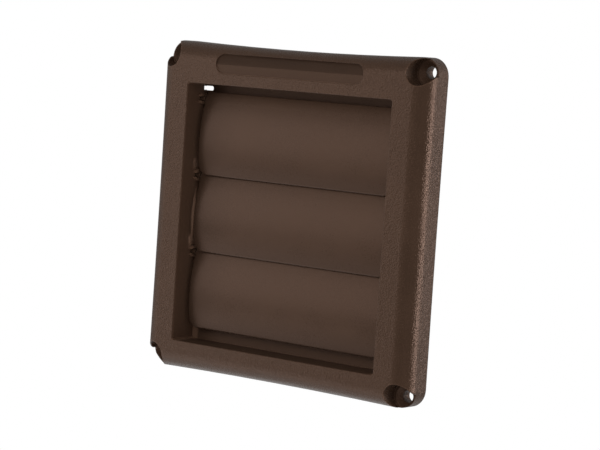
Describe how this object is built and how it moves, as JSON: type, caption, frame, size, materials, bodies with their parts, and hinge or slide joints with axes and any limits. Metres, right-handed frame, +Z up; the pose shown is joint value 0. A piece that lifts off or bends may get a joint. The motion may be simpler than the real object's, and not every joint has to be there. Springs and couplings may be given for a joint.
{
  "type": "exterior vent hood",
  "caption": "Square brown plastic exterior vent hood with a rolled-edge face, overlapping curved gravity louvres that swing open, corner screw pockets and a round duct collar behind.",
  "frame": {"origin": "axis of the duct collar, in the plane of the wall face", "axes": "+Z up, +X to the right, +Y into the wall, so the louvred front faces -Y"},
  "size_m": [0.1524, 0.0408, 0.1524],
  "materials": {
    "hood_plastic": "fine moulded grain, dark brown",
    "louvre_plastic": "satin, dark brown"
  },
  "bodies": {
    "housing": {"housing": "hood_plastic"},
    "louvre_top": {"louvre_top": "louvre_plastic"},
    "louvre_middle": {"louvre_middle": "louvre_plastic"},
    "louvre_bottom": {"louvre_bottom": "louvre_plastic"}
  },
  "joints": [
    {"name": "louvre_top_hinge", "type": "hinge", "parent": "housing", "child": "louvre_top", "pos_m": [0, -0.00553, 0.0498], "axis": [-1, 0, 0], "range_deg": [0, 60]},
    {"name": "louvre_middle_hinge", "type": "hinge", "parent": "housing", "child": "louvre_middle", "pos_m": [0, -0.00553, 0.01415], "axis": [-1, 0, 0], "range_deg": [0, 60]},
    {"name": "louvre_bottom_hinge", "type": "hinge", "parent": "housing", "child": "louvre_bottom", "pos_m": [0, -0.00553, -0.0215], "axis": [-1, 0, 0], "range_deg": [0, 60]}
  ]
}
